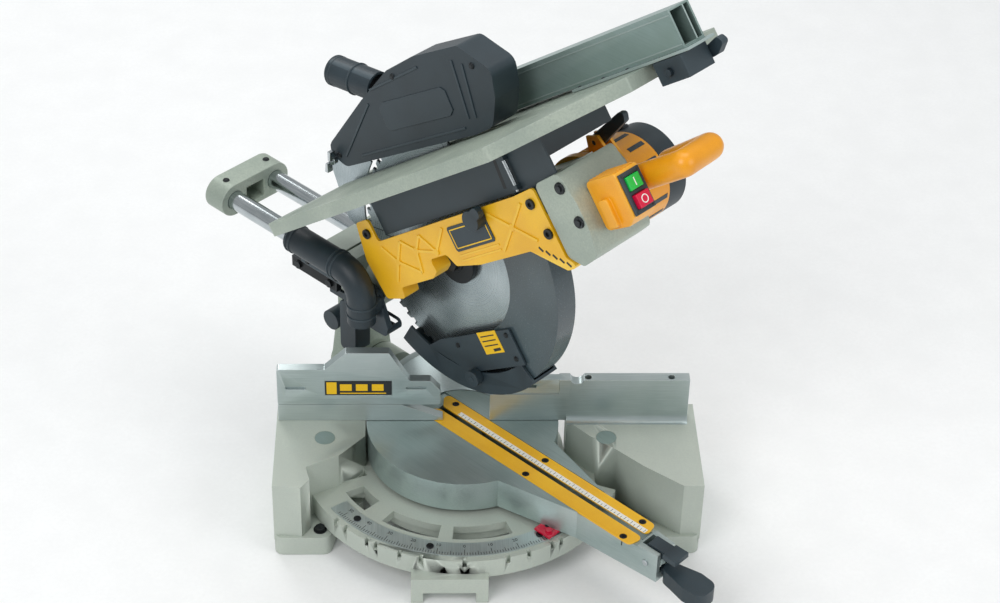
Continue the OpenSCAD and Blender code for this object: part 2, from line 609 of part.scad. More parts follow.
knife = concat(arc(157, 118, 152, 10), [[-152, 66], [-168, 84], [-152, 150], [-122, 176], [-92, 172]]);
module riving_knife() color("#8A9498") headed() difference() {
  head_slab(-1.2, 1.2) polygon(knife);
  head_rod(3.06, -5, 5, -112, 160);
}
guard_side = rounded([[-98, 146], [153, 129], [184, 131], [208, 158], [222, 188], [187, 226], [107, 234],
  [54, 231], [-14, 211], [-120, 174]], 14, 4);
module upper_guard() color(black) headed() difference() {
  union() {
    head_slab(-19, 19) polygon(guard_side);
    translate([0, -2, 216]) rotate([-59, 0, 0]) cylinder(r = 18, h = 72);
  }
  head_slab(-16, 16) polygon(inset(guard_side, 3));
  translate([0, -2, 216]) rotate([-59, 0, 0]) cylinder(r = 15, h = 80);
  // open underside and the slot for the riving knife
  translate([-16, -176, 100]) cube([32, 282, 52]);
  translate([-3, 84, 100]) cube([6, 50, 82]);
  head_rod(3.06, -30, 30, -112, 160);
}
module wing_nut() color(steel) headed() {
  head_rod(3, -22, 22, -112, 160);
  head_rod(6, -25, -19.2, -112, 160);
  for (s = [-1, 1]) head_slab(-31, -23) polygon([for (p = [[2, 2], [9, 12], [13, 9], [5, 0]]) [-112 + s * p.x, 160 + s * p.y]]);
}

// ---------- rip fence (headed frame) ----------
fence_x = 52;
fence_b = top_b + 0.4;
module rip_fence() color("#8FA5A3") headed() {
  difference() {
    translate([fence_x, -430, fence_b + 3]) cube([32, 440, 42]);
    translate([fence_x + 2.5, -431, fence_b + 5.5]) cube([27, 442, 37]);
  }
  translate([fence_x - 6, -440, fence_b]) cube([42, 190, 3.1]);
  translate([fence_x + 20, -431, fence_b + 5]) cube([2, 442, 38]);
}
module rip_clamp() color(black) headed() {
  difference() {
    translate([fence_x - 4, -424, top_b - rim_h - 10]) cube([40, 46, rim_h + 9.8]);
    translate([fence_x - 10, -380, top_b - rim_h - 20]) cube([60, 30, 60]);
    head_rod(4.06, 40, 100, 400, top_b - rim_h + 2);
  }
}
module rip_clamp_lever() color(black) headed() {
  head_rod(4, 44, 92, 400, top_b - rim_h + 2);
  head_slab(fence_x + 36.5, fence_x + 46) polygon(rounded([[392, 103], [432, 108], [446, 118], [440, 126], [420, 120], [392, 121]], 4, 3));
}

base_casting();
mitre_scale();
base_screws();
fixed_fence_left();
fixed_fence_right();
turntable_bolt();
sliding_fence();
fence_clamp_knob();
turntable();
kerf_plates();
kerf_screws();
mitre_pointer();
lever_pin();
mitre_latch();
mitre_lock_lever();
bevel_trunnion();
bevel_arm();
bevel_pivot_shaft();
bevel_clamp_knob();
linear_bearings();
bearing_side_bar();
dust_chute();
dust_duct();
slide_rails();
rail_end_cap();
carriage();
head_pivot_pin();
lift_spring();
head_casting();
side_cover();
cover_screws();
motor_housing();
motor_end_cap();
cord_gland();
motor_rotor();
drive_belt();
spindle();
spindle_pulley();
spindle_bearings();
blade_flanges();
arbor_bolt();
saw_blade();
lower_guard();
rear_guard();
guard_roller();
switch_box();
switch_plate();
start_button();
stop_button();
main_handle();
release_lever();
table_height_knob();
table_skirt();
upper_table();
riving_knife();
upper_guard();
wing_nut();
rip_fence();
rip_clamp();
rip_clamp_lever();
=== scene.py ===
"""Looks of a sliding mitre saw with an upper saw table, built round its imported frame."""

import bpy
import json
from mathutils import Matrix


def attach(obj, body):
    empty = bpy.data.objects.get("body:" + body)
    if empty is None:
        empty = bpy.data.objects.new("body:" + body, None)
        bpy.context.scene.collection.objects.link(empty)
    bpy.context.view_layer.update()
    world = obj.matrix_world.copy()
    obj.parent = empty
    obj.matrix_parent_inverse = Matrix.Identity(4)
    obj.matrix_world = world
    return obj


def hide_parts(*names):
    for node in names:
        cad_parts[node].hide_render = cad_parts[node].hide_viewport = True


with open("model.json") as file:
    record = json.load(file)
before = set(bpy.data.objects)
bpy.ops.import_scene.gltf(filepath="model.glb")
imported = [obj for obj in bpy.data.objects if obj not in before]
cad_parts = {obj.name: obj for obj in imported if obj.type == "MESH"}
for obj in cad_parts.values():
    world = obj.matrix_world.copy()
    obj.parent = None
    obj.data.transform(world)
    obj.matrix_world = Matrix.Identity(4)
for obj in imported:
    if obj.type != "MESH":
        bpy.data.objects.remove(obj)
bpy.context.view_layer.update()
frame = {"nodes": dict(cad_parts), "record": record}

import json
import logging
import math
from dataclasses import dataclass, field
from enum import Enum
from typing import Iterable, Optional, Sequence

import bmesh
import bpy
from mathutils import Matrix, Vector

LOG = logging.getLogger("mitre_saw")
MM = 0.001
# Points closer than this are one point, and faces that meet flatter than this are one face.
MERGE_MM = 0.004
FLAT_DEG = 0.4
# Edges sharper than this are shaded hard, and those sharper than the next are rounded.
HARD_EDGE_DEG = 32
ROUNDED_EDGE_DEG = 38
# Width above which a rounded edge is held back where edges crowd.
CLAMPED_EDGE_MM = 0.5
# Noise scale, per metre, that gives patches of tone about 60 mm across.
TONE_SCALE = 17.0
# How many times longer a brushed line is drawn than it is wide.
BRUSH_STRETCH = 40
Point = Sequence[float]

# The three frames that the saw is drawn in, each in millimetres.
WORLD = Matrix.Identity(4)
TURNED = Matrix.Rotation(math.radians(45), 4, "Z")
HEADED = TURNED @ Matrix.Translation((0, 8, 343)) @ Matrix.Rotation(math.radians(-38), 4, "X")


# ---------------------------------------------------------------- finishes
class Surface(Enum):
    """How a surface was made, which sets the pattern that it shows."""

    CAST = "sand or die cast, with a pebbled skin"
    BRUSHED = "machined or drawn, with fine lines one way"
    TURNED = "ground in circles about the saw's axis"
    MOULDED = "injection moulded, with a spark-eroded grain"
    PRINTED = "a flat printed or painted film"


def linear(colour: str) -> tuple[float, float, float, float]:
    """Turns an sRGB hex colour into linear light.

    Args:
        colour: six hex digits after a hash.

    Returns:
        Red, green, blue and an alpha of 1.
    """
    channels = [int(colour[i : i + 2], 16) / 255 for i in (1, 3, 5)]
    lit = [c / 12.92 if c <= 0.04045 else ((c + 0.055) / 1.055) ** 2.4 for c in channels]
    return (*lit, 1.0)


def add_node(
    tree: bpy.types.NodeTree,
    kind: str,
    links: Optional[dict] = None,
    values: Optional[dict] = None,
    **settings,
) -> bpy.types.Node:
    """Adds a shader node with its settings, values and incoming links.

    Args:
        tree: the node tree that it joins.
        kind: the node's type name.
        links: sockets that feed it, by input name or number.
        values: fixed input values, by input name or number.
        **settings: the node's own properties.

    Returns:
        The new node.
    """
    node = tree.nodes.new(kind)
    for name, value in settings.items():
        setattr(node, name, value)
    for name, value in (values or {}).items():
        node.inputs[name].default_value = value
    for name, socket in (links or {}).items():
        tree.links.new(socket, node.inputs[name])
    return node


@dataclass(frozen=True)
class Finish:
    """A real finish: what it is made of, how it was made and what that shows."""

    name: str
    colour: str
    shade: str
    metallic: float
    roughness: float
    surface: Surface
    grain_mm: float = 1.0
    relief_mm: float = 0.05
    wear: str = ""
    coat: float = 0.0
    turn_deg: float = 0.0

    def material(self) -> bpy.types.Material:
        """Returns the finish's material, made on first use."""
        return bpy.data.materials.get(self.name) or self._make()

    def _pattern(self, tree: bpy.types.NodeTree) -> bpy.types.NodeSocket:
        """Returns the coordinates that the fine grain is drawn on."""
        place = add_node(tree, "ShaderNodeTexCoord").outputs["Object"]
        if self.surface is Surface.TURNED:
            inverse = (Matrix.Diagonal((MM, MM, MM, 1)) @ HEADED).inverted()
            local = add_node(tree, "ShaderNodeMapping", {"Vector": place}, {
                "Scale": (1 / MM,) * 3, "Location": inverse.to_translation(), "Rotation": inverse.to_euler()})
            flat = add_node(tree, "ShaderNodeVectorMath", {0: local.outputs[0]}, {1: (0, 1, 1)},
                            operation="MULTIPLY")
            ring = add_node(tree, "ShaderNodeVectorMath", {0: flat.outputs[0]}, operation="LENGTH")
            return add_node(tree, "ShaderNodeCombineXYZ", {0: ring.outputs["Value"]}).outputs[0]
        # Lines run along Y before the turn, so the pattern is drawn longer that way.
        stretch = (1, 1 / BRUSH_STRETCH, 1) if self.surface is Surface.BRUSHED else (1, 1, 1)
        turned = add_node(tree, "ShaderNodeMapping", {"Vector": place},
                          {"Rotation": (0, 0, math.radians(-self.turn_deg))})
        return add_node(tree, "ShaderNodeMapping", {"Vector": turned.outputs[0]},
                        {"Scale": tuple(s / MM for s in stretch)}).outputs[0]

    def _make(self) -> bpy.types.Material:
        """Builds the node tree: base tint, worn edges, roughness and relief."""
        made = bpy.data.materials.new(self.name)
        made.use_nodes = True
        tree = made.node_tree
        shader = tree.nodes["Principled BSDF"]
        grain = add_node(tree, "ShaderNodeTexNoise", {"Vector": self._pattern(tree)},
                         {"Scale": 1 / self.grain_mm, "Detail": 4.0, "Roughness": 0.6})
        place = add_node(tree, "ShaderNodeTexCoord")
        # Slow change of tone, as handling and cooling leave.
        tone = add_node(tree, "ShaderNodeTexNoise", {"Vector": place.outputs["Object"]},
                        {"Scale": TONE_SCALE, "Detail": 3.0})
        blend = add_node(tree, "ShaderNodeMath", {0: grain.outputs["Fac"], 1: tone.outputs["Fac"]},
                         operation="MULTIPLY")
        share = add_node(tree, "ShaderNodeMapRange", {"Value": blend.outputs[0]},
                         {"From Min": 0.14, "From Max": 0.38})
        tint = add_node(tree, "ShaderNodeMix", {"Factor": share.outputs[0]}, data_type="RGBA")
        tint.inputs[6].default_value, tint.inputs[7].default_value = linear(self.shade), linear(self.colour)
        colour = tint.outputs[2]
        if self.wear:
            # Handling polishes or chips the proud edges.
            edge = add_node(tree, "ShaderNodeNewGeometry")
            proud = add_node(tree, "ShaderNodeMapRange", {"Value": edge.outputs["Pointiness"]},
                             {"From Min": 0.53, "From Max": 0.60, "To Max": 0.55})
            worn = add_node(tree, "ShaderNodeMix", {"Factor": proud.outputs[0], 6: colour}, data_type="RGBA")
            worn.inputs[7].default_value = linear(self.wear)
            colour = worn.outputs[2]
        tree.links.new(colour, shader.inputs["Base Color"])
        gloss = add_node(tree, "ShaderNodeMapRange", {"Value": grain.outputs["Fac"]}, {
            "From Min": 0.3, "From Max": 0.7,
            "To Min": self.roughness * 0.85, "To Max": min(1.0, self.roughness * 1.18)})
        tree.links.new(gloss.outputs[0], shader.inputs["Roughness"])
        relief = add_node(tree, "ShaderNodeBump", {"Height": grain.outputs["Fac"]},
                          {"Strength": 0.6, "Distance": self.relief_mm * MM})
        tree.links.new(relief.outputs[0], shader.inputs["Normal"])
        shader.inputs["Metallic"].default_value = self.metallic
        shader.inputs["Coat Weight"].default_value = self.coat
        shader.inputs["Coat Roughness"].default_value = 0.25
        return made


# Die-cast aluminium under a grey-green lacquer: a soft, slightly pebbled sheen. The grain is drawn at 2.2 mm.
CAST = Finish(
    "lacquered_cast_aluminium", colour="#A9B4A6", shade="#8F9C91", metallic=0.30, roughness=0.46,
    surface=Surface.CAST, grain_mm=2.2, relief_mm=0.16, wear="#D2D8D0")
# Bare milled aluminium: bright, with fine cutter lines along the fence.
MILLED = Finish(
    "milled_aluminium", colour="#B6C2C2", shade="#A3B1B1", metallic=0.75, roughness=0.33,
    surface=Surface.BRUSHED, grain_mm=1.1, relief_mm=0.05, wear="#E3E8E7", turn_deg=90)
# The same, with its lines along the turned arm.
TURNED_TOP = Finish(
    "milled_aluminium_turntable", colour="#ABBAB8", shade="#98A9A7", metallic=0.68, roughness=0.35,
    surface=Surface.BRUSHED, grain_mm=1.2, relief_mm=0.05, wear="#DCE3E1", turn_deg=45)
# Anodised extrusion: even, satin, a little darker.
EXTRUDED = Finish(
    "anodised_aluminium_extrusion", colour="#8FA3A1", shade="#82968F", metallic=0.50, roughness=0.42,
    surface=Surface.BRUSHED, grain_mm=0.9, relief_mm=0.04, wear="#CBD5D4", turn_deg=45)
# Glass-filled nylon, black with a blue cast, spark-eroded grain.
NYLON = Finish(
    "black_glass_filled_nylon", colour="#26353D", shade="#18242B", metallic=0.0, roughness=0.46,
    surface=Surface.MOULDED, grain_mm=0.7, relief_mm=0.06, wear="#4A5A62")
# Glass-filled nylon in yellow and in a deeper amber: satin with a fine grain.
YELLOW = Finish(
    "yellow_glass_filled_nylon", colour="#F6BE0C", shade="#E5A708", metallic=0.0, roughness=0.36,
    surface=Surface.MOULDED, grain_mm=0.7, relief_mm=0.05, wear="#FFDD55", coat=0.15)
AMBER = Finish(
    "amber_glass_filled_nylon", colour="#F9AB14", shade="#E7960E", metallic=0.0, roughness=0.34,
    surface=Surface.MOULDED, grain_mm=0.7, relief_mm=0.05, wear="#FFD060", coat=0.15)
# Ground and hard-chromed steel bar.
CHROMED = Finish(
    "hard_chromed_steel", colour="#D3D8DA", shade="#AEB6B9", metallic=1.0, roughness=0.16,
    surface=Surface.BRUSHED, grain_mm=0.8, relief_mm=0.01, turn_deg=45)
# Black-oxided steel of the screws.
OXIDED = Finish(
    "black_oxided_steel", colour="#2A2E31", shade="#17191B", metallic=0.7, roughness=0.38,
    surface=Surface.CAST, grain_mm=0.5, relief_mm=0.02, wear="#5B6063")
# Ground saw steel, with rings about the arbor.
SAW_STEEL = Finish(
    "ground_saw_steel", colour="#B9C3C6", shade="#8E9A9E", metallic=0.9, roughness=0.27,
    surface=Surface.TURNED, grain_mm=0.9, relief_mm=0.02)
# Sintered carbide of the tooth tips.
CARBIDE = Finish(
    "sintered_carbide", colour="#6F7679", shade="#565C60", metallic=0.8, roughness=0.35,
    surface=Surface.CAST, grain_mm=0.4, relief_mm=0.01)
# Smoke-grey polycarbonate guard.
GUARD = Finish(
    "smoked_polycarbonate", colour="#3C4A50", shade="#2B373D", metallic=0.0, roughness=0.24,
    surface=Surface.MOULDED, grain_mm=1.6, relief_mm=0.02, wear="#6C8085", coat=0.3)
# Sintered bronze bush.
BRONZE = Finish(
    "sintered_bronze", colour="#B08D57", shade="#8E6F42", metallic=0.9, roughness=0.42,
    surface=Surface.CAST, grain_mm=0.4, relief_mm=0.02)
# Nitrile rubber.
RUBBER = Finish(
    "nitrile_rubber", colour="#1A1D1F", shade="#101214", metallic=0.0, roughness=0.68,
    surface=Surface.MOULDED, grain_mm=0.8, relief_mm=0.05)
# Gloss ABS button caps and the pointer.
RED = Finish(
    "red_gloss_abs", colour="#D8123F", shade="#BE0D34", metallic=0.0, roughness=0.22,
    surface=Surface.MOULDED, grain_mm=0.8, relief_mm=0.01)
GREEN = Finish(
    "green_gloss_abs", colour="#1FC552", shade="#17A945", metallic=0.0, roughness=0.22,
    surface=Surface.MOULDED, grain_mm=0.8, relief_mm=0.01)
# Screen-printed ink and blank vinyl labels.
WHITE_INK = Finish(
    "white_print", colour="#F2F2EC", shade="#E4E4DC", metallic=0.0, roughness=0.5,
    surface=Surface.PRINTED, grain_mm=2.0, relief_mm=0.0)
BLACK_INK = Finish(
    "black_print", colour="#22282B", shade="#171B1E", metallic=0.0, roughness=0.5,
    surface=Surface.PRINTED, grain_mm=2.0, relief_mm=0.0)
YELLOW_LABEL = Finish(
    "yellow_vinyl_label", colour="#F7C70C", shade="#EDBC06", metallic=0.0, roughness=0.35,
    surface=Surface.PRINTED, grain_mm=2.0, relief_mm=0.0)
# Stamped steel scale.
SCALE = Finish(
    "stamped_steel_scale", colour="#C9D2D2", shade="#AEBABA", metallic=0.75, roughness=0.36,
    surface=Surface.BRUSHED, grain_mm=1.0, relief_mm=0.02)

SLOT_FINISHES = {
    "cast_aluminium": CAST, "machined_aluminium": MILLED, "black_plastic": NYLON, "yellow_plastic": YELLOW,
    "orange_plastic": AMBER, "bright_steel": CHROMED, "black_steel": OXIDED, "blade_steel": SAW_STEEL,
    "guard_plastic": GUARD, "bronze": BRONZE, "rubber": RUBBER, "red_plastic": RED, "green_plastic": GREEN,
    "fence_aluminium": EXTRUDED,
}
NODE_FINISHES = {"turntable": TURNED_TOP, "mitre_scale": SCALE, "blade_flanges": OXIDED}


# ---------------------------------------------------------------- shapes
@dataclass
class Shape:
    """A mesh under construction, in millimetres in one of the saw's frames."""

    place: Matrix = field(default_factory=lambda: WORLD.copy())
    bm: bmesh.types.BMesh = field(default_factory=bmesh.new)

    def box(self, low: Point, high: Point, turn: Optional[Matrix] = None) -> "Shape":
        """Adds a box between two corners, turned about its own middle."""
        low, high = Vector(low), Vector(high)
        spot = Matrix.Translation((low + high) / 2) @ (turn or WORLD) @ Matrix.Diagonal((*(high - low), 1))
        bmesh.ops.create_cube(self.bm, size=1, matrix=spot)
        return self

    def rod(self, start: Point, axis: str, radius: float, length: float,
            tip: Optional[float] = None, sides: int = 32) -> "Shape":
        """Adds a cylinder or cone.

        Args:
            start: the middle of its first face.
            axis: X, Y or Z, the way that it runs.
            radius: radius of its first face.
            length: its length, negative to run backwards.
            tip: radius of its last face, or the same as the first.
            sides: facets round it.

        Returns:
            The shape itself.
        """
        quarter = math.pi / 2
        turns = {"X": Matrix.Rotation(quarter, 4, "Y"), "Y": Matrix.Rotation(-quarter, 4, "X"), "Z": WORLD}
        spot = Matrix.Translation(start) @ turns[axis] @ Matrix.Translation((0, 0, length / 2))
        bmesh.ops.create_cone(self.bm, cap_ends=True, segments=sides, radius1=radius,
                              radius2=radius if tip is None else tip, depth=length, matrix=spot)
        return self

    def ring(self, centre: Point, axis: Point, major: float, minor: float, sides: int = 48) -> "Shape":
        """Adds a torus by spinning a small circle about an axis through a point.

        Args:
            centre: the torus's middle.
            axis: the direction that it is turned about.
            major: radius of the ring.
            minor: radius of its section.
            sides: steps round the ring.

        Returns:
            The shape itself.
        """
        axis = Vector(axis).normalized()
        side = axis.orthogonal().normalized()
        turn = Matrix((side, axis, side.cross(axis))).transposed().to_4x4()
        made = bmesh.ops.create_circle(self.bm, segments=10, radius=minor,
                                       matrix=Matrix.Translation(Vector(centre) + side * major) @ turn)
        edges = list({e for v in made["verts"] for e in v.link_edges})
        bmesh.ops.spin(self.bm, geom=made["verts"] + edges, cent=centre, axis=axis, angle=2 * math.pi,
                       steps=sides, use_merge=True)
        return self

    def plate(self, outline: Iterable[Point], x0: float, x1: float) -> "Shape":
        """Adds a plate whose outline is drawn in (forward, up) and which spans x0 to x1."""
        face = self.bm.faces.new([self.bm.verts.new((x0, -a, b)) for a, b in outline])
        grown = bmesh.ops.extrude_face_region(self.bm, geom=[face])["geom"]
        far = [part for part in grown if isinstance(part, bmesh.types.BMVert)]
        bmesh.ops.translate(self.bm, verts=far, vec=(x1 - x0, 0, 0))
        return self

    def strip(self, a: Point, b: Point, width: float, x0: float, x1: float) -> "Shape":
        """Adds a straight rib from one (forward, up) point to another."""
        a, b = Vector(a), Vector(b)
        side = Vector((a.y - b.y, b.x - a.x)).normalized() * width / 2
        return self.plate([a + side, a - side, b - side, b + side], x0, x1)

    def text(self, words: str, size: float, spot: Matrix, depth: float) -> "Shape":
        """Adds dial numbers as solid letters.

        Args:
            words: the numerals.
            size: their height.
            spot: where they lie, flat in XY.
            depth: their thickness.

        Returns:
            The shape itself.
        """
        curve = bpy.data.curves.new("numerals", "FONT")
        curve.body, curve.size, curve.extrude = words, size, depth / 2
        curve.align_x = curve.align_y = "CENTER"
        curve.resolution_u = 2
        holder = bpy.data.objects.new("numerals", curve)
        mesh = bpy.data.meshes.new_from_object(holder)
        mesh.transform(spot)
        self.bm.from_mesh(mesh)
        bpy.data.objects.remove(holder)
        bpy.data.meshes.remove(mesh)
        bpy.data.curves.remove(curve)
        return self

    def screw(self, start: Point, axis: str, radius: float, height: float) -> "Shape":
        """Adds a low button head with a six-sided socket rim."""
        crown, socket, rim = radius * 0.8, radius * 0.5, math.copysign(0.3, height)
        self.rod(start, axis, radius, height, crown, 24)
        direction = {"X": Vector((1, 0, 0)), "Y": Vector((0, 1, 0)), "Z": Vector((0, 0, 1))}[axis]
        return self.rod(Vector(start) + direction * height, axis, socket, rim, None, 6)

    def done(self, name: str, look: Finish, body: str, slot: str, edge: float = 0.3) -> bpy.types.Object:
        """Turns the shape into a finished piece that rides on a body.

        Args:
            name: the piece's name.
            look: its finish.
            body: the CAD body that carries it.
            slot: the record's material slot, not used.
            edge: radius of its rounded edges, in millimetres, or 0.

        Returns:
            The new object, at the origin.
        """
        bmesh.ops.recalc_face_normals(self.bm, faces=self.bm.faces)
        self.bm.transform(Matrix.Diagonal((MM, MM, MM, 1)) @ self.place)
        mesh = bpy.data.meshes.new(name)
        self.bm.to_mesh(mesh)
        self.bm.free()
        made = bpy.data.objects.new(name, mesh)
        bpy.context.scene.collection.objects.link(made)
        return settle(made, look, body, edge)


def settle(made: bpy.types.Object, look: Finish, body: str, edge: float) -> bpy.types.Object:
    """Rounds, smooths and dresses a piece, and rides it on its body."""
    made.data.materials.clear()
    made.data.materials.append(look.material())
    made.data.shade_smooth()
    made.data.set_sharp_from_angle(angle=math.radians(HARD_EDGE_DEG))
    if edge:
        rounding = made.modifiers.new("rounded_edges", "BEVEL")
        rounding.width, rounding.segments, rounding.profile = edge * MM, 2, 0.5
        rounding.limit_method, rounding.angle_limit = "ANGLE", math.radians(ROUNDED_EDGE_DEG)
        rounding.use_clamp_overlap = edge > CLAMPED_EDGE_MM
        rounding.harden_normals = True
    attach(made, body)
    LOG.info("%s on %s in %s", made.name, body, look.name)
    return made


# ---------------------------------------------------------------- carried-over parts
@dataclass
class Castings:
    """The frame's own parts, each merged, rounded at its edges and dressed."""

    default_edge: float = 0.45
    # Cast and moulded pieces have broader radii than turned ones, in millimetres.
    edges: dict = field(default_factory=lambda: {
        "base_casting": 1.0, "head_casting": 0.9, "switch_box": 1.8, "side_cover": 0.8, "upper_guard": 0.7,
        "motor_housing": 0.8, "motor_end_cap": 0.8, "upper_table": 0.9, "bevel_arm": 1.4, "carriage": 1.2,
        "rail_end_cap": 2.5, "turntable": 0.7, "mitre_lock_lever": 2.2, "saw_blade": 0.0, "drive_belt": 0.0,
        "lift_spring": 0.0, "bearing_side_bar": 1.0, "rip_clamp": 1.2, "start_button": 0.9,
        "stop_button": 0.9, "mitre_scale": 0.15, "linear_bearings": 0.0, "spindle": 0.0})

    def build(self) -> None:
        """Copies every node but the handle, and stands each copy in for its node."""
        record = frame["record"]
        slots = {part["node"]: part["material_slot"] for part in record["subparts"]}
        for body, nodes in record["behaviour"]["bodies"].items():
            for node in nodes:
                if node != "main_handle":
                    self.copy(node, body, slots[node])

    def copy(self, node: str, body: str, slot: str) -> bpy.types.Object:
        """Makes one finished copy of a node.

        Args:
            node: the CAD node.
            body: the body that it rides on.
            slot: its material slot.

        Returns:
            The copy.
        """
        mesh = frame["nodes"][node].data.copy()
        shape = bmesh.new()
        shape.from_mesh(mesh)
        bmesh.ops.remove_doubles(shape, verts=shape.verts, dist=MERGE_MM * MM)
        flat = math.radians(FLAT_DEG)
        bmesh.ops.dissolve_limit(shape, angle_limit=flat, verts=shape.verts, edges=shape.edges)
        shape.to_mesh(mesh)
        shape.free()
        made = bpy.data.objects.new(f"{node}_finished", mesh)
        bpy.context.scene.collection.objects.link(made)
        look = NODE_FINISHES.get(node, SLOT_FINISHES[slot])
        settle(made, look, body, self.edges.get(node, self.default_edge))
        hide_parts(node)
        return made


@dataclass
class Handle:
    """The D-shaped grip, one moulding whose corners flow into each other."""

    voxel: float = 2.0
    passes: int = 14

    def build(self) -> None:
        """Remeshes and smooths the loop so that its bars blend."""
        mesh = frame["nodes"]["main_handle"].data.copy()
        shape = bmesh.new()
        shape.from_mesh(mesh)
        bmesh.ops.remove_doubles(shape, verts=shape.verts, dist=MERGE_MM * MM)
        shape.to_mesh(mesh)
        shape.free()
        grip = bpy.data.objects.new("main_handle_grip", mesh)
        bpy.context.scene.collection.objects.link(grip)
        skin = grip.modifiers.new("one_skin", "REMESH")
        skin.mode, skin.voxel_size, skin.use_smooth_shade = "VOXEL", self.voxel * MM, True
        flow = grip.modifiers.new("flow", "SMOOTH")
        flow.factor, flow.iterations = 0.5, self.passes
        settle(grip, AMBER, "head", 0)
        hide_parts("main_handle")


# ---------------------------------------------------------------- details
@dataclass
class Base:
    """Scale marks, table inserts, fence bolts and bench bolts of the base."""

    scale_top: float = 58.2
    mark_radius: float = 187.5
    number_radius: float = 173.0
    insert_x: tuple = (-165, 172)
    insert_y: float = -32.0
    table_top: float = 103.3
    numerals: tuple = (-50, -40, -30, -20, -10, 0, 10, 20, 40, 50)
    numeral_height: float = 6.5
    fence_bolt_x: tuple = (152, 206, 250)
    fence_back: tuple = (14, 150)
    bench_bolts: tuple = ((-170, -110), (212, -110))
    foot_top: float = 27.0

    def build(self) -> None:
        """Builds the details that ride on the base."""
        marks = Shape()
        for degree in range(-52, 53):
            length = 9 if degree % 10 == 0 else 6.5 if degree % 5 == 0 else 4
            middle = self.mark_radius - length / 2
            turn = math.radians(degree - 90)
            centre = Vector((middle * math.cos(turn), middle * math.sin(turn), self.scale_top + 0.05))
            half = Vector((length / 2, 0.3, 0.12))
            marks.box(centre - half, centre + half, Matrix.Rotation(turn, 4, "Z"))
        for degree in self.numerals:
            turn = math.radians(degree - 90)
            across, along = self.number_radius * math.cos(turn), self.number_radius * math.sin(turn)
            spot = Matrix.Translation((across, along, self.scale_top + 0.1))
            upright = spot @ Matrix.Rotation(math.radians(degree), 4, "Z")
            marks.text(str(abs(degree)), self.numeral_height, upright, 0.15)
        marks.done("mitre_scale_marks", BLACK_INK, "base", "bright_steel", 0)
        inserts = Shape()
        for x in self.insert_x:
            inserts.rod((x, self.insert_y, self.table_top), "Z", 12.1, 0.55, 12.0, 48)
        inserts.done("table_inserts", EXTRUDED, "base", "cast_aluminium", 0.15)
        screws = Shape()
        for x in self.fence_bolt_x:
            screws.screw((x, *self.fence_back), "Y", 4.5, 2.5)
        washer = 1.4
        for x, y in self.bench_bolts:
            screws.rod((x, y, self.foot_top), "Z", 8, washer, None, 32)
            screws.rod((x, y, self.foot_top + washer), "Z", 6.2, 4, 5.8, 6)
        screws.done("base_bolts", OXIDED, "base", "black_steel", 0.3)


@dataclass
class SlidingFence:
    """The blank plate on the sliding fence."""

    low: tuple = (-164.6, 0.1, 143.4)
    high: tuple = (-85.4, 0.9, 164.6)
    field_x: tuple = (-140, -121, -102)
    field_half: float = 7.0
    # The yellow fields stand this far proud of the fence and reach this far into the plate.
    proud: float = -0.05
    sunk: float = 0.3

    def build(self) -> None:
        """Builds the plate and its yellow fields."""
        plate = Shape().box(self.low, self.high)
        plate.done("fence_plate", BLACK_INK, "sliding_fence", "black_plastic", 0.2)
        fields = Shape()
        for x in self.field_x:
            fields.box((x - self.field_half, self.proud, 150), (x + self.field_half, self.sunk, 160))
        fields.box((-163, self.proud, 145), (-151, self.sunk, 163))
        fields.box((-147, self.proud, 145.5), (-92, self.sunk, 147))
        fields.done("fence_plate_fields", YELLOW_LABEL, "sliding_fence", "yellow_plastic", 0)


@dataclass
class Turntable:
    """Ruler marks beside the kerf, and the pointer's screw."""

    top: float = 103.4
    pitch: float = 5.0
    steps: int = 60
    first_mark: float = -284.0
    mark_x: float = 4.2
    long_mark: float = 5.0
    short_mark: float = 3.0

    def build(self) -> None:
        """Builds the marks on the right kerf plate."""
        marks = Shape(TURNED)
        for step in range(self.steps):
            y = self.first_mark + step * self.pitch
            width = self.long_mark if step % 2 == 0 else self.short_mark
            low = (self.mark_x, y - 0.3, self.top - 0.02)
            marks.box(low, (self.mark_x + width, y + 0.3, self.top + 0.1))
        marks.done("kerf_ruler_marks", BLACK_INK, "turntable", "black_steel", 0)
        strip = Shape(TURNED).box((3.6, -286, self.top - 0.05), (10.4, 12, self.top + 0.04))
        strip.done("kerf_ruler", WHITE_INK, "turntable", "yellow_plastic", 0)
        screw = Shape(TURNED).screw((-32, -170, 63), "Z", 3.2, 1.5)
        screw.done("pointer_screw", OXIDED, "turntable", "black_steel", 0.2)


@dataclass
class Rails:
    """End-cap bolts, bearing seals and arm bolts."""

    rail_x: float = 33.0
    rail_z: float = 265.0
    bearing_face: float = 206.4
    cap_face: float = 396.0
    cap_top: float = 22.0
    arm_top: float = 18.0

    def build(self) -> None:
        """Builds the pieces on the arm and on the carriage."""
        seals = Shape(TURNED)
        for side in (-1, 1):
            seals.ring((side * self.rail_x, self.bearing_face, self.rail_z), (0, 1, 0), 14.3, 1.7)
        seals.done("rail_seals", RUBBER, "bevel_arm", "rubber", 0)
        bolts = Shape(TURNED)
        for side in (-1, 1):
            bolts.screw((side * self.rail_x, self.cap_face, self.rail_z), "Y", 8.5, 2.4)
            bolts.screw((side * self.rail_x, self.cap_face - 16, self.rail_z + self.cap_top), "Z", 4.5, 1.2)
        bolts.done("end_cap_bolts", OXIDED, "carriage", "black_steel", 0.3)
        arm = Shape(TURNED)
        for side in (-1, 1):
            arm.screw((side * 44, 188, self.rail_z + self.arm_top), "Z", 5, 1.6)
        arm.screw((0, 196, 104), "Y", 16, 3.5)
        arm.done("arm_bolts", OXIDED, "bevel_arm", "black_steel", 0.3)


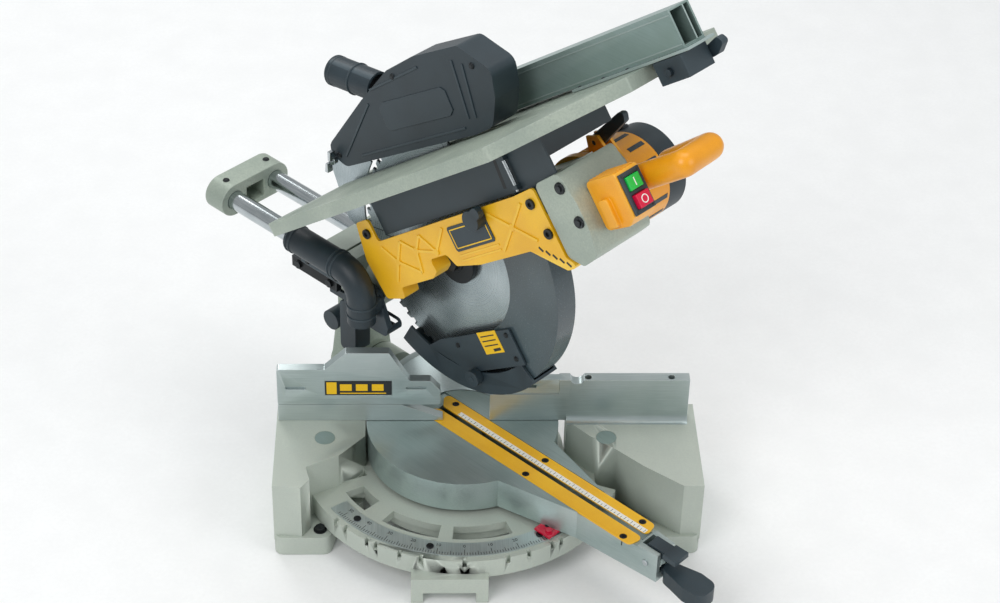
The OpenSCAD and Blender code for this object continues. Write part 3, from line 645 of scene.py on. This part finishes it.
@dataclass
class SideCover:
    """Raised ribs, the blank badge, the painted shade in the vent slots, and the bosses of the yellow cover
    and the front shield.
    """

    face: float = -60.0
    rib: float = 3.4
    height: float = 1.5
    # Nodes of the rib lattice, each (forward, up), and the pairs of nodes that a rib joins.
    nodes: tuple = ((-46, 6), (-46, 50), (-28, 28), (-8, 50), (6, 8), (14, 34), (30, 50), (48, 26), (76, 50),
                    (162, 6), (162, 50), (192, 28), (222, 6), (222, 50))
    pairs: tuple = ((0, 2), (1, 2), (2, 3), (2, 4), (3, 5), (4, 5), (5, 6), (5, 7), (6, 7), (7, 8),
                    (9, 11), (10, 11), (11, 12), (11, 13))
    # Nodes that carry a round boss.
    bossed: tuple = (2, 5, 7, 11)
    boss_radius: float = 4.2
    line_b: tuple = (8, 14)
    badge: tuple = ((84, 22), (86, 19), (154, 19), (156, 22), (156, 46), (154, 49), (86, 49), (84, 46))
    badge_rim: tuple = ((88, 23), (152, 23), (152, 45), (88, 45))
    vent_count: int = 5
    first_vent: tuple = (219, -5)
    vent_step: tuple = (8, -6)
    shield_bolts: tuple = ((290, 52), (295, 12))

    def build(self) -> None:
        """Builds the pieces that ride on the head."""
        ribs = Shape(HEADED)
        for start, end in self.pairs:
            ribs.strip(self.nodes[start], self.nodes[end], self.rib, self.face - self.height, self.face + 0.3)
        for a, b in (self.nodes[place] for place in self.bossed):
            ribs.rod((self.face + 0.3, -a, b), "X", self.boss_radius, -self.height - 0.6)
        for b in self.line_b:
            ribs.strip((84, b), (158, b), 2.2, self.face - 1, self.face + 0.3)
        ribs.done("side_cover_ribs", YELLOW, "head", "yellow_plastic", 0.35)
        badge = Shape(HEADED).plate(self.badge, self.face - 1.4, self.face + 0.3)
        badge.done("badge_plate", NYLON, "head", "black_plastic", 0.4)
        rim = Shape(HEADED)
        for start, end in zip(self.badge_rim, self.badge_rim[1:] + self.badge_rim[:1]):
            rim.strip(start, end, 1.3, self.face - 1.7, self.face - 1.2)
        rim.done("badge_rim", YELLOW_LABEL, "head", "yellow_plastic", 0)
        # The vent strips are black film on the cover: painted shade where the cover is open.
        vent_shades = Shape(HEADED)
        for k in range(self.vent_count):
            a, b = (first + k * step for first, step in zip(self.first_vent, self.vent_step))
            vent_shades.strip((a - 1, b + 4), (a + 3, b - 2), 2.6, self.face - 0.25, self.face + 0.5)
        vent_shades.done("cover_vent_painted_shade", BLACK_INK, "head", "black_plastic", 0)
        bosses = Shape(HEADED)
        for a, b in self.shield_bolts:
            bosses.rod((-58, -a, b), "X", 7, -2.4, 6.2)
            bosses.rod((-60, -a, b), "X", 4, -2.0, None, 6)
        bosses.done("shield_bolts", OXIDED, "head", "black_steel", 0.25)


@dataclass
class Motor:
    """The painted shade in the vent slots, the brush caps and the ribs of the motor."""

    a: float = 176.0
    b: float = 6.0
    radius: float = 52.0
    vent_count: int = 14
    vent_x: float = 124.0
    rib_x: tuple = (76, 84, 92, 100)
    brush_x: float = 152.0
    end_x: float = 168.0
    end_screws: int = 4
    end_screw_radius: float = 43.0

    def build(self) -> None:
        """Builds the details round the motor's axis."""
        # Thin black slabs fill the vent openings: painted shade of the dark inside.
        vent_shades = Shape(HEADED)
        for k in range(self.vent_count):
            turn = Matrix.Rotation(math.tau * k / self.vent_count, 4, "X")
            middle = Vector((self.vent_x, -self.a, self.b)) + turn.to_3x3() @ Vector((0, 0, self.radius))
            half = Vector((12, 3, 0.35))
            vent_shades.box(middle - half, middle + half, turn)
        vent_shades.done("motor_vent_painted_shade", NYLON, "head", "black_plastic", 0.2)
        ribs = Shape(HEADED)
        for x in self.rib_x:
            ribs.ring((x, -self.a, self.b), (1, 0, 0), self.radius, 1.1, 64)
        ribs.done("motor_ribs", AMBER, "head", "orange_plastic", 0)
        caps = Shape(HEADED)
        caps.rod((self.brush_x, -self.a, self.b + 51), "Z", 9, 3.6, 8)
        caps.rod((self.brush_x, -self.a, self.b + 54.4), "Z", 6.5, 1.2, 6)
        for k in range(self.end_screws):
            turn = math.tau * (k + 0.5) / self.end_screws
            forward, up = self.end_screw_radius * math.sin(turn), self.end_screw_radius * math.cos(turn)
            caps.screw((self.end_x, -self.a + forward, self.b + up), "X", 4, 2)
        caps.done("motor_brush_caps", OXIDED, "head", "black_plastic", 0.3)


@dataclass
class Controls:
    """Marks of the two buttons, and the screws and top ribs of the switch box."""

    stop_centre: tuple = (-20, -360.5, 9)
    screw_x: tuple = (-32, -8)
    screw_z: tuple = (-1.5, 39.5)
    box_front: float = -355.0
    rib_width: float = 1.6

    def build(self) -> None:
        """Builds the marks that ride on the buttons and the details that ride on the head."""
        bar = Shape(HEADED).box((-20.6, -357.8, 24.5), (-19.4, -357.4, 33.5))
        bar.done("start_mark", WHITE_INK, "start_button", "green_plastic", 0)
        ring = Shape(HEADED).ring(self.stop_centre, (0, 1, 0), 4.2, 0.6, 32)
        ring.done("stop_mark", WHITE_INK, "stop_button", "red_plastic", 0)
        screws = Shape(HEADED)
        for z in self.screw_z:
            for x in self.screw_x:
                screws.screw((x, self.box_front, z), "Y", 1.7, -0.7)
        screws.done("switch_screws", OXIDED, "head", "black_steel", 0)
        ribs = Shape(HEADED)
        for x in range(-33, -4, 5):
            ribs.box((x, -350, 45.6), (x + self.rib_width, -308, 46.8))
        ribs.done("switch_box_ribs", AMBER, "head", "orange_plastic", 0.4)


@dataclass
class Blade:
    """Carbide tips of the saw disc, and painted shade in its expansion slots."""

    radius: float = 152.5
    teeth: int = 60
    half_plate: float = 1.28
    slot_sets: int = 4
    # Each slot of a set: the radius of its middle and its length.
    slots: tuple = ((136, 18), (118, 14))
    slot_end: tuple = (0, 4.5, 110)

    def build(self) -> None:
        """Builds the tips, and the painted shade of the slots, that spin with the disc."""
        tips = Shape(HEADED)
        for k in range(self.teeth):
            turn = Matrix.Rotation(math.tau * k / self.teeth, 4, "X")
            middle = turn.to_3x3() @ Vector((0, 0, self.radius - 3.2))
            half = Vector((1.45, 0.9, 2.9))
            tips.box(middle - half, middle + half, turn)
        tips.done("blade_tips", CARBIDE, "blade", "blade_steel", 0)
        # The slots and their end holes are black film: painted shade where the disc is cut through.
        slots = Shape(HEADED)
        outer = self.slots[0][0]
        for k in range(self.slot_sets):
            turn = Matrix.Rotation(math.tau * (k + 0.3) / self.slot_sets, 4, "X")
            for radius, length in self.slots:
                # The slots lean, so the inner ones stand further forward.
                middle = turn.to_3x3() @ Vector((0, (outer - radius) * 0.25, radius))
                half = Vector((self.half_plate, 0.6, length / 2))
                slots.box(middle - half, middle + half, turn)
            middle = turn.to_3x3() @ Vector(self.slot_end)
            slots.rod(middle - Vector((self.half_plate, 0, 0)), "X", 2.6, 2 * self.half_plate, None, 16)
        slots.done("blade_slot_painted_shade", BLACK_INK, "blade", "blade_steel", 0)


@dataclass
class Guards:
    """Panels, ribs and spout rings of the guards, and the blank label."""

    label: tuple = ((-12, -115), (-12, -87), (22, -89), (22, -117))
    label_face: float = -17.5
    bar_b: tuple = (-93, -99, -105)
    lower_screws: tuple = ((38, -98), (-56, -96), (36, -128))
    upper_screws: tuple = ((-100, 162), (196, 200), (60, 222))
    panel: tuple = ((10, 172), (16, 166), (126, 158), (134, 163),
                    (136, 186), (130, 192), (22, 200), (12, 195))
    # Raised lines on each side of the upper guard, as (forward, up) ends.
    lines: tuple = (((152, 148), (168, 214)), ((164, 146), (182, 206)), ((-88, 158), (-4, 204)),
                    ((10, 218), (108, 221)), ((-60, 152), (140, 140)))
    spout_foot: tuple = (0, -2, 216)
    spout_turn: float = -59.0
    mouth_rings: tuple = (66, 71)
    root_ring: float = 34.0

    def build(self) -> None:
        """Builds the details of the lower and upper guards."""
        label = Shape(HEADED).plate(self.label, self.label_face, self.label_face + 0.7)
        label.done("guard_label", YELLOW_LABEL, "rear_guard", "yellow_plastic", 0.1)
        bars = Shape(HEADED)
        proud, sunk = self.label_face - 0.2, self.label_face + 0.1
        for b in self.bar_b:
            bars.strip((-8, b), (17, b - 1), 1.4, proud, sunk)
        bars.strip((5, -112), (18, -112), 3.5, proud, sunk)
        bars.done("guard_label_bars", BLACK_INK, "rear_guard", "black_plastic", 0)
        screws = Shape(HEADED)
        for a, b in self.lower_screws:
            screws.screw((-17, -a, b), "X", 3.4, -1.6)
        screws.done("guard_screws", OXIDED, "rear_guard", "black_steel", 0.2)
        raised = Shape(HEADED)
        for x0, x1 in ((-20.2, -18.6), (18.6, 20.2)):
            raised.plate(self.panel, x0, x1)
            for foot, head in self.lines:
                raised.strip(foot, head, 3, x0, x1)
        raised.done("upper_guard_panels", NYLON, "upper_guard", "black_plastic", 0.6)
        start = Vector(self.spout_foot)
        along = Matrix.Rotation(math.radians(self.spout_turn), 3, "X") @ Vector((0, 0, 1))
        rings = Shape(HEADED)
        for step in self.mouth_rings:
            rings.ring(start + along * step, along, 17.4, 1.1)
        rings.ring(start + along * self.root_ring, along, 17.8, 1.6)
        rings.done("spout_rings", NYLON, "upper_guard", "black_plastic", 0)
        pins = Shape(HEADED)
        for a, b in self.upper_screws:
            pins.screw((-19, -a, b), "X", 4, -1.6)
        pins.done("upper_guard_screws", OXIDED, "upper_guard", "black_steel", 0.2)


@dataclass
class UpperTable:
    """The skirt's guide rod and clips, the painted shade of the skirt's opening, and the rip fence's beads
    and screws.
    """

    rod_foot: tuple = (-53, -219, 62)
    rod_length: float = 50.0
    clip_b: tuple = (64, 98)
    gap: tuple = ((196, 68), (200, 104))
    bead_b: tuple = (134, 166)
    bead_x: tuple = (51.3, 83.6)
    fence_screws: tuple = (260, 300, 340)

    def build(self) -> None:
        """Builds the details that ride on the upper table and its fence."""
        rod = Shape(HEADED).rod(self.rod_foot, "Z", 2.4, self.rod_length)
        rod.done("table_guide_rod", CHROMED, "upper_table", "bright_steel", 0)
        clips = Shape(HEADED)
        for b in self.clip_b:
            clips.box((-56, -223, b), (-49.2, -215, b + 5))
        clips.done("guide_rod_clips", NYLON, "upper_table", "black_plastic", 0.4)
        # A black film strip along the skirt's opening: painted shade.
        gap = Shape(HEADED).strip(*self.gap, 5, -49.6, -49)
        gap.done("skirt_gap_painted_shade", BLACK_INK, "upper_table", "black_plastic", 0)
        beads = Shape(HEADED)
        for b in self.bead_b:
            for x in self.bead_x:
                beads.box((x, -429, b), (x + 0.7, 9, b + 1.4))
        beads.done("rip_fence_beads", EXTRUDED, "rip_fence", "fence_aluminium", 0.2)
        screws = Shape(HEADED)
        for a in self.fence_screws:
            screws.screw((50, -a, 130.5), "Z", 2.0, 0.8)
        screws.done("rip_fence_screws", OXIDED, "rip_fence", "black_steel", 0)


@dataclass
class Ducts:
    """Collars, flange and bolts of the dust duct."""

    x: float = -79.5
    z: float = 313.0
    inlet_y: float = 90.0
    level_collars: tuple = (124, 130, 196, 202)
    upright_collars: tuple = (262, 276)
    bolt_y: tuple = (130, 178)

    def build(self) -> None:
        """Builds the pieces along the duct."""
        rings = Shape(TURNED)
        for y in self.level_collars:
            rings.ring((self.x, y, self.z), (0, 1, 0), 16.8, 1.4)
        for z in self.upright_collars:
            rings.ring((self.x, self.inlet_y, z), (0, 0, 1), 16.8, 1.4)
        rings.done("duct_collars", NYLON, "bevel_arm", "black_plastic", 0)
        flange = Shape(TURNED).box((self.x - 3, 118, self.z - 27), (self.x + 4, 190, self.z - 15))
        flange.done("duct_flange", NYLON, "bevel_arm", "black_plastic", 1.2)
        bolts = Shape(TURNED)
        for y in self.bolt_y:
            bolts.screw((self.x - 3, y, self.z - 21), "X", 3.6, -1.8)
        bolts.done("duct_bolts", OXIDED, "bevel_arm", "black_steel", 0.2)


# ---------------------------------------------------------------- studio
@dataclass
class Studio:
    """A pale floor, soft lights and the camera."""

    floor_size: float = 14.0
    lens: float = 82.8
    spot: tuple = (-0.0531, -2.1296, 1.8986)
    down: float = 37.14
    pan: float = 2.54
    roll: float = 1.56
    # Each soft box: its name, place in metres, side in metres and power in watts.
    lamps: tuple = (("key", (-1.6, -2.2, 2.8), 1.8, 46), ("fill", (2.4, -1.4, 1.8), 1.8, 20),
                    ("top", (0.2, 0.6, 3.2), 2.2, 30), ("rim", (-1.4, 2.4, 2.0), 1.2, 18))
    sky_strength: float = 0.52

    def build(self) -> None:
        """Builds the floor, the lights, the sky and the camera."""
        self.floor()
        for lamp in self.lamps:
            self.light(*lamp)
        sky = bpy.data.worlds.new("studio")
        bpy.context.scene.world = sky
        sky.use_nodes = True
        sky.node_tree.nodes["Background"].inputs[0].default_value = linear("#F4F6F7")
        sky.node_tree.nodes["Background"].inputs[1].default_value = self.sky_strength
        bpy.context.scene.view_settings.view_transform = "Standard"
        self.camera()

    def floor(self) -> None:
        """Builds the floor just under the feet."""
        shape = bmesh.new()
        bmesh.ops.create_grid(shape, x_segments=1, y_segments=1, size=self.floor_size / 2)
        bmesh.ops.translate(shape, verts=shape.verts, vec=(0, 0, -0.0005))
        mesh = bpy.data.meshes.new("floor")
        shape.to_mesh(mesh)
        shape.free()
        floor = bpy.data.objects.new("floor", mesh)
        bpy.context.scene.collection.objects.link(floor)
        paper = Finish("pale_paper", "#F6F7F7", "#F2F3F3", 0.0, 0.9, Surface.PRINTED, 5.0, 0.0)
        mesh.materials.append(paper.material())

    def light(self, name: str, spot: Point, size: float, power: float) -> None:
        """Adds a square soft box that faces the saw.

        Args:
            name: the light's name.
            spot: its place, in metres.
            size: its side, in metres.
            power: its power, in watts.
        """
        lamp = bpy.data.lights.new(name, "AREA")
        lamp.size, lamp.energy = size, power
        holder = bpy.data.objects.new(name, lamp)
        holder.location = spot
        holder.rotation_euler = (Vector((0, 0, 0.3)) - Vector(spot)).to_track_quat("-Z", "Y").to_euler()
        bpy.context.scene.collection.objects.link(holder)

    def camera(self) -> None:
        """Builds the camera from its down-tilt, pan and roll."""
        down, roll = math.radians(self.down), math.radians(self.roll)
        right, up = Vector((1, 0, 0)), Vector((0, math.sin(down), math.cos(down)))
        forward = Vector((0, math.cos(down), -math.sin(down)))
        side = right * math.cos(roll) + up * math.sin(roll)
        top = up * math.cos(roll) - right * math.sin(roll)
        pan = Matrix.Rotation(-math.radians(self.pan), 3, "Z")
        view = Matrix((pan @ side, pan @ top, pan @ -forward)).transposed().to_4x4()
        lens = bpy.data.cameras.new("camera")
        lens.lens, lens.sensor_width = self.lens, 36
        camera = bpy.data.objects.new("camera", lens)
        camera.matrix_world = Matrix.Translation(self.spot) @ view
        bpy.context.scene.collection.objects.link(camera)
        bpy.context.scene.camera = camera


def main() -> None:
    """Builds the studio and every sub-assembly."""
    logging.basicConfig(level=logging.INFO, format="%(message)s")
    Studio().build()
    for assembly in (Castings(), Handle(), Base(), SlidingFence(), Turntable(), Rails(), SideCover(), Motor(),
                     Controls(), Blade(), Guards(), UpperTable(), Ducts()):
        assembly.build()


if __name__ == "__main__":
    main()
